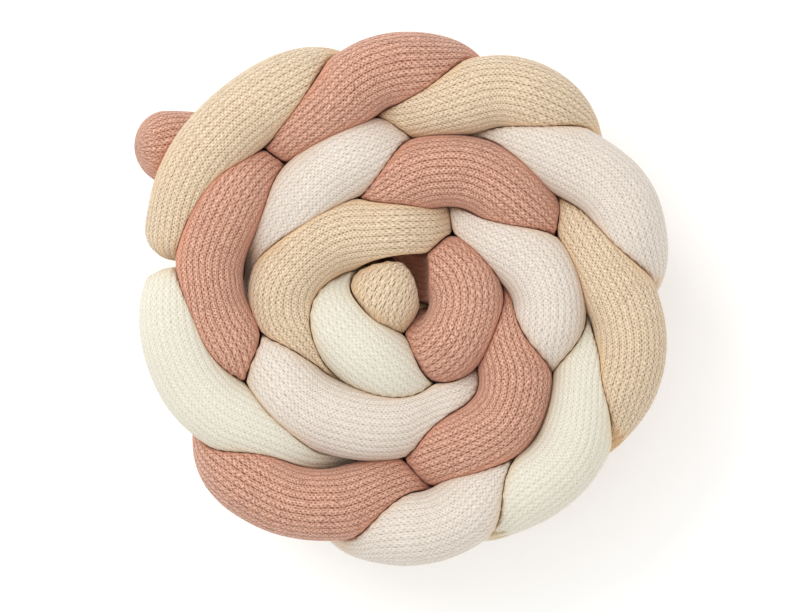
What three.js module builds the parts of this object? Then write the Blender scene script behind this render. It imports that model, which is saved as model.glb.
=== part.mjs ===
// Braided crib bumper, rolled up on edge into a flat coil.
// Four long stuffed knitted tubes are plaited side by side and the plait is wound
// clockwise from its outer end to the middle. Millimetres, +Z up, origin on the floor
// under the middle of the coil.
import * as THREE from 'three';

// Sizes of the tubes and of the coil
const TUBE_RADIUS = 28.5;
const COIL_HEIGHT = 184;
const FLOOR_AXIS = 25;
const TOP_AXIS = COIL_HEIGHT - TUBE_RADIUS;
const LEVELS = 4;
const LEVEL_PITCH = (TOP_AXIS - FLOOR_AXIS) / (LEVELS - 1);
const CAP_LENGTH = 25;

// How an arch rises and falls. A tube reaches its full height at a share of the arch's
// length. Its tails reach beyond both ends by a share of that length, drop further there
// (in levels) and keep some of their turn towards the middle of the coil.
const SHOULDER = { rise: 0.36, fall: 0.2, drop: 0.06 };
const TAIL = { share: 0.16, rise: 0.6, fall: 0.8, turn: 0.48 };
const KEY_SPACING = 4;
const KEY_CLEARANCE = 5;

// How the hidden lengths lie: set in from the plait's middle line, swung to and fro where
// they cross, and kept from bulging out under the arches
const INNER_SET = 12;
const SIDE_SWING = 8;
const OUTER_REACH = -14;

// How the tubes press on each other. A hold is the share by which a point goes back to
// its place in each round.
const REST_DISTANCE = 52;
const PRESS_ROUNDS = 60;
const PRESS_RATE = 0.35;
const STIFFNESS = 0.3;
const HOLD = { hidden: 0.01, arch: 0.6, width: 1.15, end: 0.6, endPoints: 4 };
const CONTACT_SHARPNESS = 12;
const FULLNESS = { least: 0.96, arch: 1.04, hidden: 1.12, rounds: 12, rate: 0.4 };
const SMALLEST_RADIUS = 4;

// How two tubes meet. At one height they share a flat wall half way between them. The
// more one lies above the other, up to the full rise, the rounder it stays and the more
// of the room it takes. Its wall is then part of a ball that reaches behind its centre.
const CONTACT = { gap: 0.9, fullRise: 26, roundness: 1.4, mostRoom: 0.7, farthest: 90 };

// Steps along and around a tube
const LAY_STEP = 16;
const FINE_STEP = 8;
const RING_STEP = 14.5;
const SIDES = 12;
const CAP_RINGS = 3;
const DRAW_IN_ROUNDS = 2;

// How far a corner may stand out from its neighbours, and the height up to which it
// counts as lying on the floor
const EVEN_ROUNDS = 2;
const EVEN_STEP = { along: 1.2, around: 3 };
const FLAT_HEIGHT = 0.01;

// The four tubes: knit colour, and where the outer end of each lies
const TUBES = {
  sand: { color: 0xdcc3a5, angle: -81, radius: 176, level: 0.5 },
  pink: { color: 0xcb9b84, angle: -61, radius: 249, level: 0.7 },
  blush: { color: 0xe6dacb, angle: -72, radius: 186, level: 2 },
  ivory: { color: 0xece6d8, angle: -66, radius: 186, level: 3 },
};
const NAMES = Object.keys(TUBES);

// The pink tube's outer end reaches out past its neighbours before it turns in
const PINK_LEAD = [
  { angle: -58, radius: 228, level: 0.85 },
  { angle: -53, radius: 200, level: 1.15 },
];

// The arches on the upper edge, from the outer end inwards. Angles are in degrees
// clockwise from +Y and go on counting past a full turn. The radii are those of the
// tube's middle line at four even steps between the two angles. The dips say how many
// levels the tube has gone down at the first angle and at the second.
const ARCHES = [
  { tube: 'sand', from: -76, to: -20, radii: [181, 191, 191, 177], dips: [0.4, 0.4] },
  { tube: 'pink', from: -39, to: 13, radii: [162, 167, 181, 173], dips: [0.5, 0.45] },
  { tube: 'sand', from: -2, to: 44, radii: [156, 165, 184, 177], dips: [0.6, 0.45] },
  { tube: 'blush', from: 30, to: 84, radii: [160, 170, 186, 174], dips: [0.55, 0.4] },
  { tube: 'sand', from: 63, to: 125, radii: [152, 168, 182, 173], dips: [0.6, 0.45] },
  { tube: 'ivory', from: 101, to: 159, radii: [150, 170, 181, 168], dips: [0.6, 0.45] },
  { tube: 'blush', from: 147, to: 189, radii: [152, 173, 183, 175], dips: [0.6, 0.45] },
  { tube: 'pink', from: 180, to: 231, radii: [154, 173, 188, 178], dips: [0.6, 0.6] },
  { tube: 'ivory', from: 212, to: 281, radii: [130, 168, 181, 171], dips: [0.6, 0.5] },
  { tube: 'pink', from: 246, to: 316, radii: [143, 161, 162, 147], dips: [0.5, 0.8] },
  { tube: 'blush', from: 288, to: 356, radii: [102, 110, 115, 115], dips: [0.5, 0.45] },
  { tube: 'pink', from: 336, to: 426, radii: [84, 100, 115, 110], dips: [0.7, 0.45] },
  { tube: 'blush', from: 413, to: 474, radii: [88, 107, 116, 108], dips: [0.45, 0.45] },
  { tube: 'pink', from: 460, to: 531, radii: [74, 108, 129, 126], dips: [0.6, 0.45] },
  { tube: 'blush', from: 532, to: 612, radii: [94, 106, 119, 112], dips: [0.6, 0.45] },
  { tube: 'sand', from: 592, to: 746, radii: [88, 95, 60, 52], dips: [0.6, 0.9] },
  { tube: 'pink', from: 756, to: 884, radii: [36, 50, 53, 50], dips: [0.6, 0.6] },
  { tube: 'ivory', from: 884, to: 990, radii: [74, 55, 53, 66], dips: [0.8, 0.6] },
  { tube: 'sand', from: 940, to: 1078, radii: [33, 20, 18, 25], dips: [0.9, 0.35] },
];
const LAST = ARCHES.length - 1;

// The plait's own middle line: where each arch is centred
const CORE_RADIUS = 55;
const middle = ARCHES.map(({ from, to, radii }) => ({
  angle: (from + to) / 2,
  radius: Math.max(CORE_RADIUS, (radii[1] + radii[2]) / 2),
}));

const clamp = THREE.MathUtils.clamp;
const levelHeight = (level) => TOP_AXIS - LEVEL_PITCH * level;

// A smooth curve through keys, with slopes taken from both neighbours
function smoothThrough(xs, ys, x) {
  const slope = (i) => (ys[i + 1] - ys[i]) / (xs[i + 1] - xs[i]);
  const tangent = (i) => {
    if (i === 0) return slope(0);
    if (i === xs.length - 1) return slope(i - 1);
    const before = xs[i] - xs[i - 1];
    const after = xs[i + 1] - xs[i];
    return (slope(i - 1) * after + slope(i) * before) / (before + after);
  };
  let i = 0;
  while (i < xs.length - 2 && x >= xs[i + 1]) i += 1;
  const width = xs[i + 1] - xs[i];
  const t = (x - xs[i]) / width;
  const s = 1 - t;
  return (1 + 2 * t) * s * s * ys[i] + t * s * s * width * tangent(i)
    + t * t * (3 - 2 * t) * ys[i + 1] - t * t * s * width * tangent(i + 1);
}

const steps = middle.map((_, i) => i);
const plaitAngle = (time) => smoothThrough(steps, middle.map((m) => m.angle), time);
const plaitRadius = (time) => smoothThrough(steps, middle.map((m) => m.radius), time);

// The crossings of the plait. At each half step the two upper tubes swap, and so does the
// lower pair unless that would bury the next tube. At a whole step the two in the middle
// swap when the tube of the next arch has to come up.
function plaitCrossings() {
  const order = [...NAMES];
  const crossings = [];
  const swap = (time, level) => {
    crossings.push({ time, level, falls: order[level], rises: order[level + 1] });
    [order[level], order[level + 1]] = [order[level + 1], order[level]];
  };
  for (let k = 0; k < LAST; k += 1) {
    if (order[1] !== ARCHES[k + 1].tube) swap(k, 1);
    swap(k + 0.5, 0);
    const next = ARCHES[k + 2]?.tube;
    if (next && (order[1] === next || order[3] === next)) swap(k + 0.5, 2);
  }
  return crossings;
}
const crossings = plaitCrossings();

// The keys of one arch: its shoulders, its two ends and the tails on which it dives. The
// innermost tube ends on top, so the last arch has no tail behind it.
function archKeys(arch, before, after) {
  const { from, to, radii, dips } = arch;
  const span = to - from;
  const start = Math.max(from - span * TAIL.share, (before + from) / 2 + 1);
  const end = Math.min(to + span * TAIL.share, (to + after) / 2 - 1);
  const levels = [
    [start, dips[0] + TAIL.rise],
    [from, dips[0]],
    [from + span * SHOULDER.rise, SHOULDER.drop],
    [to - span * SHOULDER.fall, SHOULDER.drop],
    [to, dips[1]],
  ];
  const reach = [
    [start, radii[0] - TAIL.turn * (radii[1] - radii[0])],
    ...radii.map((radius, j) => [from + (span * j) / (radii.length - 1), radius]),
  ];
  if (arch !== ARCHES[LAST]) {
    levels.push([end, dips[1] + TAIL.fall]);
    reach.push([end, radii[3] - TAIL.turn * (radii[2] - radii[3])]);
  }
  return { levels, radii: reach };
}

// Keys in the order of their angles, those that all but coincide made into one
function tidyKeys(keys) {
  const sorted = keys.sort((a, b) => a[0] - b[0]);
  const tidy = [sorted[0]];
  for (const key of sorted.slice(1)) {
    const last = tidy[tidy.length - 1];
    if (key[0] - last[0] >= KEY_SPACING) tidy.push(key);
    else tidy[tidy.length - 1] = [(last[0] + key[0]) / 2, (last[1] + key[1]) / 2];
  }
  return tidy;
}

// The keys of one tube over the angle: its level and its distance from the middle
function tubeKeys(name) {
  const own = ARCHES.filter((arch) => arch.tube === name);
  const keys = own.map((arch, i) => (
    archKeys(arch, own[i - 1]?.to ?? -Infinity, own[i + 1]?.from ?? Infinity)));
  const levels = keys.flatMap((k) => k.levels);
  const radii = keys.flatMap((k) => k.radii);
  const taken = (angle) => own.some(({ from, to }) => {
    const margin = TAIL.share * (to - from) + KEY_CLEARANCE;
    return angle > from - margin && angle < to + margin;
  });
  let level = NAMES.indexOf(name);
  for (let time = 0; time <= LAST + 0.5; time += 0.5) {
    const crossing = crossings.find(
      (c) => c.time === time && (c.falls === name || c.rises === name));
    const angle = plaitAngle(time);
    let swing = 0;
    let height = level;
    if (crossing) {
      const falls = crossing.falls === name;
      height = crossing.level + 0.5;
      swing = (falls === (crossing.level !== 1)) ? SIDE_SWING : -SIDE_SWING;
      level = falls ? crossing.level + 1 : crossing.level;
      if (crossing.level === 0) continue;
    }
    if (taken(angle) || (name === ARCHES[LAST].tube && angle > ARCHES[LAST].from)) continue;
    levels.push([angle, height]);
    radii.push([angle, plaitRadius(time) - INNER_SET + swing]);
  }
  const ends = [TUBES[name], ...(name === 'pink' ? PINK_LEAD : [])];
  const after = (list) => list.filter(([angle]) => angle > ends[ends.length - 1].angle + 2);
  return {
    levels: tidyKeys([...ends.map((e) => [e.angle, e.level]), ...after(levels)]),
    radii: tidyKeys([...ends.map((e) => [e.angle, e.radius]), ...after(radii)]),
  };
}

const lengthsAlong = (points) => {
  const along = [0];
  for (let i = 1; i < points.length; i += 1) {
    along.push(along[i - 1] + points[i].distanceTo(points[i - 1]));
  }
  return along;
};

// Points at even steps on the straight stretches of a line
function evenSteps(points, step) {
  const along = lengthsAlong(points);
  const total = along[along.length - 1];
  const count = Math.round(total / step);
  let i = 0;
  return Array.from({ length: count + 1 }, (_, k) => {
    const s = (total * k) / count;
    while (i < points.length - 2 && along[i + 1] < s) i += 1;
    return points[i].clone().lerp(points[i + 1], (s - along[i]) / (along[i + 1] - along[i]));
  });
}

// The line of a tube as its keys lay it, before the tubes press on each other
function laidLine(name) {
  const { levels, radii } = tubeKeys(name);
  const through = (keys, angle) => (
    smoothThrough(keys.map((k) => k[0]), keys.map((k) => k[1]), angle));
  const last = levels[levels.length - 1][0];
  const points = [];
  for (let angle = TUBES[name].angle; angle <= last; angle += 1) {
    const radius = through(radii, angle);
    const turn = THREE.MathUtils.degToRad(angle);
    points.push(new THREE.Vector3(radius * Math.sin(turn), radius * Math.cos(turn),
      clamp(levelHeight(through(levels, angle)), FLOOR_AXIS, TOP_AXIS)));
  }
  return evenSteps(points, LAY_STEP);
}

// How strongly each point keeps its place, and how far out it may be pushed
function holdPoints(name, line) {
  let angle = TUBES[name].angle;
  return line.map((point, i) => {
    const seen = THREE.MathUtils.radToDeg(Math.atan2(point.x, point.y));
    angle = seen + 360 * Math.round((angle - seen) / 360);
    let hold = HOLD.hidden;
    for (const arch of ARCHES.filter((a) => a.tube === name)) {
      const width = HOLD.width * (arch.to - arch.from);
      const u = Math.abs(2 * angle - arch.from - arch.to) / width;
      if (u < 1) hold = Math.max(hold, HOLD.hidden + HOLD.arch * (1 - u ** 4));
    }
    let k = 0;
    while (k < LAST - 1 && angle > middle[k + 1].angle) k += 1;
    const share = clamp((angle - middle[k].angle) / (middle[k + 1].angle - middle[k].angle), 0, 1);
    const plait = THREE.MathUtils.lerp(middle[k].radius, middle[k + 1].radius, share);
    if (i < HOLD.endPoints) hold = HOLD.end;
    return { hold, reach: hold > 2 * HOLD.hidden ? Infinity : plait + OUTER_REACH };
  });
}

// Push the lines apart where they are closer than the rest distance, a little at a time
function pressApart(lines, holds) {
  const points = lines.flatMap((line, tube) => line.map((at, index) => (
    { at: at.clone(), home: at, tube, index, ...holds[tube][index] })));
  const own = Math.round((1.7 * REST_DISTANCE) / LAY_STEP);
  const away = new THREE.Vector3();
  for (let round = 0; round < PRESS_ROUNDS; round += 1) {
    const pushes = points.map((p) => {
      const push = new THREE.Vector3();
      let weight = 1e-6;
      for (const q of points) {
        if (p.tube === q.tube && Math.abs(p.index - q.index) < own) continue;
        away.subVectors(p.at, q.at);
        const distance = away.length() + 1e-9;
        if (distance >= REST_DISTANCE) continue;
        const overlap = REST_DISTANCE - distance;
        weight += overlap ** 2;
        push.addScaledVector(away, overlap ** 3 / distance);
      }
      return push.divideScalar(weight);
    });
    points.forEach((p, i) => p.at.addScaledVector(pushes[i], PRESS_RATE));
    const bends = points.map((p, i) => {
      const [before, after] = [points[i - 1], points[i + 1]];
      if (before?.tube !== p.tube || after?.tube !== p.tube) return new THREE.Vector3();
      return before.at.clone().add(after.at).addScaledVector(p.at, -2);
    });
    points.forEach((p, i) => {
      p.at.addScaledVector(bends[i], STIFFNESS);
      p.at.lerp(p.home, p.hold);
      p.at.z = clamp(p.at.z, FLOOR_AXIS, TOP_AXIS);
      const shrink = Math.min(1, p.reach / Math.hypot(p.at.x, p.at.y));
      p.at.x *= shrink;
      p.at.y *= shrink;
    });
  }
  return lines.map((_, tube) => points.filter((p) => p.tube === tube).map((p) => p.at));
}

// A smooth curve through a line's points, read by its length along the tube
class TubeLine {
  constructor(points, holds) {
    this.along = lengthsAlong(points);
    this.length = this.along[this.along.length - 1];
    this.axes = ['x', 'y', 'z'].map((axis) => points.map((p) => p[axis]));
    const count = Math.round(this.length / FINE_STEP);
    this.stations = Array.from({ length: count + 1 }, (_, k) => (this.length * k) / count);
    this.points = this.stations.map((s) => this.at(s));
    const archShare = holds.map(({ hold }) => Math.min(1, hold / HOLD.arch));
    this.archShares = this.stations.map((s) => (
      clamp(smoothThrough(this.along, archShare, s), 0, 1)));
  }

  at(s) {
    return new THREE.Vector3(...this.axes.map((values) => smoothThrough(this.along, values, s)));
  }

  // Directions across the tube, the first one pointing as far up as it can
  around(s, sides) {
    const [before, after] = [Math.max(0, s - FINE_STEP), Math.min(this.length, s + FINE_STEP)];
    const ahead = this.at(after).sub(this.at(before)).normalize();
    const up = new THREE.Vector3(0, 0, 1).addScaledVector(ahead, -ahead.z).normalize();
    const side = new THREE.Vector3().crossVectors(ahead, up);
    return Array.from({ length: sides }, (_, k) => {
      const turn = (2 * Math.PI * k) / sides;
      return up.clone().multiplyScalar(Math.cos(turn)).addScaledVector(side, Math.sin(turn));
    });
  }
}

// How far a line from a tube's centre runs before it meets the wall shared with another
// tube, whose centre is so far apart, so much higher, and so far along the line
function wallReach(apart, higher, along) {
  const rise = clamp(Math.abs(higher) / CONTACT.fullRise, 0, 1);
  const share = rise * (1.5 - 0.5 * rise ** 2);
  const behind = TUBE_RADIUS * (CONTACT.roundness / Math.max(share, 0.02) - 1);
  const room = Math.min(TUBE_RADIUS, CONTACT.mostRoom * apart) - apart / 2;
  const ball = apart / 2 + Math.max(0, room) * share + behind;
  if (higher <= 0) {
    const back = (along * behind) / apart;
    return Math.sqrt(back ** 2 + ball ** 2 - behind ** 2) - back;
  }
  const over = along * (1 + behind / apart);
  if (over <= 0) return Infinity;
  const centre = apart + behind;
  const inside = over ** 2 - centre ** 2 + ball ** 2;
  return inside > 0 ? over - Math.sqrt(inside)
    : over + 3 * (Math.sqrt(centre ** 2 - over ** 2) - ball);
}

// How far a tube reaches in one direction before it meets the tubes pressed against it
function freeReach(lines, own, s, from, direction) {
  let limit = Infinity;
  const to = new THREE.Vector3();
  lines.forEach((line, tube) => line.points.forEach((point, i) => {
    if (tube === own && Math.abs(line.stations[i] - s) < 2.2 * TUBE_RADIUS) return;
    to.subVectors(point, from);
    const apart = to.length();
    if (apart > CONTACT.farthest) return;
    limit = Math.min(limit, wallReach(apart, to.z, to.dot(direction)));
  }));
  return Math.max(limit - CONTACT.gap / 2, SMALLEST_RADIUS);
}

// One section of a tube: round where it is free, flat where it is pressed or lies on the floor
function section(radius, limits, from, directions) {
  return directions.map((direction, k) => {
    const pressed = radius * (1 + (radius / limits[k]) ** CONTACT_SHARPNESS)
      ** (-1 / CONTACT_SHARPNESS);
    return direction.z < -1e-6 ? Math.min(pressed, from.z / -direction.z) : pressed;
  });
}

// The free radius along a tube, fuller where the tube is squeezed
function fullRadii(lines, own) {
  const line = lines[own];
  const fullArea = Math.PI * TUBE_RADIUS ** 2;
  const sections = line.stations.map((s, i) => {
    const from = line.points[i];
    const directions = line.around(s, SIDES);
    const limits = directions.map((direction) => freeReach(lines, own, s, from, direction));
    return { from, directions, limits };
  });
  let radii = line.stations.map(() => TUBE_RADIUS);
  for (let round = 0; round < FULLNESS.rounds; round += 1) {
    const grown = sections.map(({ from, directions, limits }, i) => {
      const r = section(radii[i], limits, from, directions);
      const area = r.reduce((sum, a, k) => sum + a * r[(k + 1) % SIDES], 0)
        * 0.5 * Math.sin((2 * Math.PI) / SIDES);
      const most = THREE.MathUtils.lerp(FULLNESS.hidden, FULLNESS.arch, line.archShares[i]);
      return clamp(radii[i] * (fullArea / area) ** FULLNESS.rate,
        TUBE_RADIUS * FULLNESS.least, TUBE_RADIUS * most);
    });
    radii = grown.map((r, i) => (
      i === 0 || i === grown.length - 1 ? r : (grown[i - 1] + 2 * r + grown[i + 1]) / 4));
  }
  return radii;
}

// Where the sections stand: even steps between two round ends
function ringStations(length) {
  const caps = Array.from({ length: CAP_RINGS }, (_, k) => {
    const turn = ((k + 1) / (CAP_RINGS + 1)) * (Math.PI / 2);
    return { s: CAP_LENGTH * (1 - Math.cos(turn)), scale: Math.sin(turn) };
  });
  const straight = length - 2 * CAP_LENGTH;
  const count = Math.round(straight / RING_STEP);
  return [
    ...caps,
    ...Array.from({ length: count + 1 }, (_, k) => (
      { s: CAP_LENGTH + (straight * k) / count, scale: 1 })),
    ...caps.map(({ s, scale }) => ({ s: length - s, scale })).reverse(),
  ];
}

// Flat faces cut across hollow stretches, so where the middle of an edge would reach too
// far, the corners at both its ends are drawn in
function drawInCorners(lines, own, rings) {
  const neighbours = [[1, 0], [0, 1], [1, 1]];
  for (let round = 0; round < DRAW_IN_ROUNDS; round += 1) {
    const scales = rings.map((ring) => ring.radii.map(() => 1));
    for (let i = 0; i < rings.length - 1; i += 1) {
      for (let k = 0; k < SIDES; k += 1) {
        for (const [ahead, beside] of neighbours) {
          const [a, b] = [rings[i], rings[i + ahead]];
          const next = (k + beside) % SIDES;
          const from = a.from.clone().lerp(b.from, 0.5);
          const to = cornerAt(a, k).lerp(cornerAt(b, next), 0.5).sub(from);
          const length = to.length();
          const reach = freeReach(lines, own, (a.s + b.s) / 2, from, to.divideScalar(length));
          const scale = Math.min(1, reach / length);
          scales[i][k] = Math.min(scales[i][k], scale);
          scales[i + ahead][next] = Math.min(scales[i + ahead][next], scale);
        }
      }
    }
    rings.forEach((ring, i) => { ring.radii = ring.radii.map((r, k) => r * scales[i][k]); });
  }
}

// Corners that stand out from the ones before and after them, or beside them, are drawn
// in, except where they lie on the floor
function evenOut(rings) {
  for (let round = 0; round < EVEN_ROUNDS; round += 1) {
    const before = rings.map((ring) => ring.radii);
    for (let i = CAP_RINGS + 1; i < rings.length - CAP_RINGS - 1; i += 1) {
      rings[i].radii = before[i].map((r, k) => {
        if (cornerAt(rings[i], k).z < FLAT_HEIGHT) return r;
        const along = (before[i - 1][k] + before[i + 1][k]) / 2;
        const around = (before[i][(k + SIDES - 1) % SIDES] + before[i][(k + 1) % SIDES]) / 2;
        return Math.min(r, along + EVEN_STEP.along, around + EVEN_STEP.around);
      });
    }
  }
}

const cornerAt = ({ from, directions, radii }, k) =>
  from.clone().addScaledVector(directions[k], radii[k]);

// The closed surface of one tube
function tubeGeometry(lines, own) {
  const line = lines[own];
  const free = fullRadii(lines, own);
  const rings = ringStations(line.length).map(({ s, scale }) => {
    const from = line.at(s);
    const directions = line.around(s, SIDES);
    const limits = directions.map((direction) => freeReach(lines, own, s, from, direction));
    const radii = section(smoothThrough(line.stations, free, s), limits, from, directions);
    return { s, from, directions, radii: radii.map((r) => r * scale) };
  });
  drawInCorners(lines, own, rings);
  evenOut(rings);
  const corners = [
    line.at(0),
    ...rings.flatMap((ring) => ring.radii.map((_, k) => cornerAt(ring, k))),
    line.at(line.length),
  ];
  const last = corners.length - 1;
  const faces = [];
  for (let k = 0; k < SIDES; k += 1) {
    const next = (k + 1) % SIDES;
    faces.push(0, 1 + next, 1 + k);
    for (let ring = 0; ring < rings.length - 1; ring += 1) {
      const [a, b] = [1 + ring * SIDES + k, 1 + ring * SIDES + next];
      faces.push(a, b + SIDES, a + SIDES, a, b, b + SIDES);
    }
    const start = 1 + (rings.length - 1) * SIDES;
    faces.push(last, start + k, start + next);
  }
  const geometry = new THREE.BufferGeometry();
  geometry.setAttribute('position',
    new THREE.Float32BufferAttribute(corners.flatMap((c) => [c.x, c.y, c.z]), 3));
  geometry.setIndex(faces);
  geometry.computeVertexNormals();
  return geometry;
}

const laid = NAMES.map(laidLine);
const holds = NAMES.map((name, i) => holdPoints(name, laid[i]));
const lines = pressApart(laid, holds).map((points, i) => new TubeLine(points, holds[i]));

const bumper = new THREE.Group();
bumper.name = 'braided_crib_bumper';
NAMES.forEach((name, i) => {
  const knit = new THREE.MeshStandardMaterial({
    color: TUBES[name].color, roughness: 0.95, metalness: 0,
  });
  const strand = new THREE.Mesh(tubeGeometry(lines, i), knit);
  strand.name = `strand_${name}`;
  bumper.add(strand);
});

// The coil stands centred over its origin
const centre = new THREE.Box3().setFromObject(bumper).getCenter(new THREE.Vector3());
bumper.position.set(-centre.x, -centre.y, 0);

export default bumper;
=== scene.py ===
"""Braided crib bumper, rolled up on edge into a flat coil.

Four long stuffed tubes of ribbed knit are plaited side by side, and the plait is wound
from its outer end to the middle. Each tube is one padded piece that stands for the CAD
solid of its colour. The tables of arches and ends are those of the part's source, in
millimetres and degrees clockwise from +Y, and the meshes are made in metres.
"""

import logging
import math
from collections.abc import Callable, Sequence
from dataclasses import dataclass, field
from enum import Enum

import bpy
import numpy as np
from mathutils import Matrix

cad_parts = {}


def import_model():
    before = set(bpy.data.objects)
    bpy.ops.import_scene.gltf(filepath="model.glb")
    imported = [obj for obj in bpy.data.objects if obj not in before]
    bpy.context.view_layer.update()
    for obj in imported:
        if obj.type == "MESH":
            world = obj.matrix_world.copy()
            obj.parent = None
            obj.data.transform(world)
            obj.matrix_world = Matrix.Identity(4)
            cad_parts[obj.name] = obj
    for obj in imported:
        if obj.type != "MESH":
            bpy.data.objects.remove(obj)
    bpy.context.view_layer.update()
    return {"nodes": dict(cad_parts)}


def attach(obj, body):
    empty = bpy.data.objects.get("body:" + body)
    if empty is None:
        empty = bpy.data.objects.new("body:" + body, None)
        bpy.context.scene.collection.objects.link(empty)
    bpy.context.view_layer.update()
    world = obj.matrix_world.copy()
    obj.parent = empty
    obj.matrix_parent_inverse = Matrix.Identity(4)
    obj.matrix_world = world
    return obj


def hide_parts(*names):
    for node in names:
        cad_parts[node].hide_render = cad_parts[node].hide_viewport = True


LOG = logging.getLogger("crib_bumper")

# A millimetre in metres, and the number of ribs around each tube
METRES = 0.001
WALES = 30

# Two that keep a division from failing, and one past every squared length in the coil
TINY = 1e-9
SMALL = 1e-6
FAR = 1e9


class Tone(Enum):
    """The four knit colours, in the order in which their tubes start, from the top down."""

    SAND = "sand"
    PINK = "pink"
    BLUSH = "blush"
    IVORY = "ivory"

    @property
    def node(self) -> str:
        """Name of the CAD solid that the tube of this colour stands for."""
        return f"strand_{self.value}"

    @property
    def slot(self) -> str:
        """Name of a material slot of this colour."""
        return f"knit_{self.value}"


@dataclass(frozen=True)
class Arch:
    """A stretch in which one tube runs along the upper edge of the coil.

    The radii are those of the tube's middle line at even steps between the two angles.
    The dips say how many levels the tube has gone down at the first and second angle.
    """

    tone: Tone
    start: float
    stop: float
    radii: tuple[float, float, float, float]
    dips: tuple[float, float]

    @property
    def span(self) -> float:
        """Angle that the arch covers."""
        return self.stop - self.start

    @property
    def centre(self) -> float:
        """Angle at the middle of the arch."""
        return (self.start + self.stop) / 2


@dataclass(frozen=True)
class Spot:
    """A place that a tube's middle line passes: angle, distance from the middle, level."""

    angle: float
    radius: float
    level: float


ENDS = {
    Tone.SAND: (Spot(-81, 176, 0.5),),
    Tone.PINK: (Spot(-61, 249, 0.7), Spot(-58, 228, 0.85), Spot(-53, 200, 1.15)),
    Tone.BLUSH: (Spot(-72, 186, 2.0),),
    Tone.IVORY: (Spot(-66, 186, 3.0),),
}

ARCHES = (
    Arch(Tone.SAND, -76, -20, (181, 191, 191, 177), (0.4, 0.4)),
    Arch(Tone.PINK, -39, 13, (162, 167, 181, 173), (0.5, 0.45)),
    Arch(Tone.SAND, -2, 44, (156, 165, 184, 177), (0.6, 0.45)),
    Arch(Tone.BLUSH, 30, 84, (160, 170, 186, 174), (0.55, 0.4)),
    Arch(Tone.SAND, 63, 125, (152, 168, 182, 173), (0.6, 0.45)),
    Arch(Tone.IVORY, 101, 159, (150, 170, 181, 168), (0.6, 0.45)),
    Arch(Tone.BLUSH, 147, 189, (152, 173, 183, 175), (0.6, 0.45)),
    Arch(Tone.PINK, 180, 231, (154, 173, 188, 178), (0.6, 0.6)),
    Arch(Tone.IVORY, 212, 281, (130, 168, 181, 171), (0.6, 0.5)),
    Arch(Tone.PINK, 246, 316, (143, 161, 162, 147), (0.5, 0.8)),
    Arch(Tone.BLUSH, 288, 356, (102, 110, 115, 115), (0.5, 0.45)),
    Arch(Tone.PINK, 336, 426, (84, 100, 115, 110), (0.7, 0.45)),
    Arch(Tone.BLUSH, 413, 474, (88, 107, 116, 108), (0.45, 0.45)),
    Arch(Tone.PINK, 460, 531, (74, 108, 129, 126), (0.6, 0.45)),
    Arch(Tone.BLUSH, 532, 612, (94, 106, 119, 112), (0.6, 0.45)),
    Arch(Tone.SAND, 592, 746, (88, 95, 60, 52), (0.6, 0.9)),
    Arch(Tone.PINK, 756, 884, (36, 50, 53, 50), (0.6, 0.6)),
    Arch(Tone.IVORY, 884, 990, (74, 55, 53, 66), (0.8, 0.6)),
    Arch(Tone.SAND, 940, 1078, (33, 20, 18, 25), (0.9, 0.35)),
)


def smooth_through(xs: Sequence[float], ys: Sequence[float], x: np.ndarray) -> np.ndarray:
    """Read a smooth curve through keys.

    Between two keys the value is the cubic that has both keys' values and slopes. A key's
    slope is the mean of the slopes on its two sides, each weighted with the other's width.

    Args:
        xs: Rising places of the keys.
        ys: Values at the keys.
        x: Places to read.

    Returns:
        The values at the places.
    """
    xk, yk = np.asarray(xs, float), np.asarray(ys, float)
    width = np.diff(xk)
    slope = np.diff(yk) / width
    tangent = np.empty_like(yk)
    tangent[0], tangent[-1] = slope[0], slope[-1]
    tangent[1:-1] = (slope[:-1] * width[1:] + slope[1:] * width[:-1]) / (width[:-1] + width[1:])
    i = np.clip(np.searchsorted(xk, x, side="right") - 1, 0, len(xk) - 2)
    h = width[i]
    t = (x - xk[i]) / h
    s = 1 - t
    return (
        (1 + 2 * t) * s * s * yk[i]
        + t * s * s * h * tangent[i]
        + t * t * (3 - 2 * t) * yk[i + 1]
        - t * t * s * h * tangent[i + 1]
    )


def lengths_along(points: np.ndarray) -> np.ndarray:
    """Length from the first point to each point, along the straight stretches.

    Args:
        points: Points in a row, one to a line of the array.

    Returns:
        One length for each point, starting at 0.
    """
    steps = np.linalg.norm(np.diff(points, axis=0), axis=1)
    return np.concatenate([[0.0], np.cumsum(steps)])


def tube_faces(rings: int, sides: int) -> tuple[np.ndarray, ...]:
    """Faces of a closed tube: four-sided ones between its rings, and a fan at either end.

    Point k of ring j has the number j times sides plus k, and the two poles come last.
    The rows count from 0 at the first pole, over 1 at the first ring, to the last pole.
    The columns go on at the seam, and a pole has the middle of its face's two.

    Args:
        rings: Number of rings.
        sides: Number of points in each.

    Returns:
        Point, row and column of each face corner, and the first corner of each face.
    """
    j, k = np.mgrid[0:rings - 1, 0:sides]
    turn = np.arange(sides)
    fan = np.ones((sides, 1), int)
    rows = (np.stack([j, j, j + 1, j + 1], axis=-1) + 1, fan * [0, 1, 1],
            fan * [rings + 1, rings, rings])
    columns = (np.stack([k, k + 1, k + 1, k], axis=-1),
               np.stack([turn + 0.5, turn + 1, turn], axis=-1),
               np.stack([turn + 0.5, turn, turn + 1], axis=-1))
    row = np.concatenate([part.ravel() for part in rows])
    column = np.concatenate([part.ravel() for part in columns])
    points = (row - 1) * sides + column.astype(int) % sides
    points[row == 0] = rings * sides
    points[row > rings] = rings * sides + 1
    starts = np.concatenate([np.arange(j.size) * 4, j.size * 4 + np.arange(2 * sides) * 3])
    return points, row, column, starts


def put(name: str, data: bpy.types.ID) -> bpy.types.Object:
    """Make an object of a mesh, lamp or camera and link it to the scene."""
    made = bpy.data.objects.new(name, data)
    bpy.context.scene.collection.objects.link(made)
    return made


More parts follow.
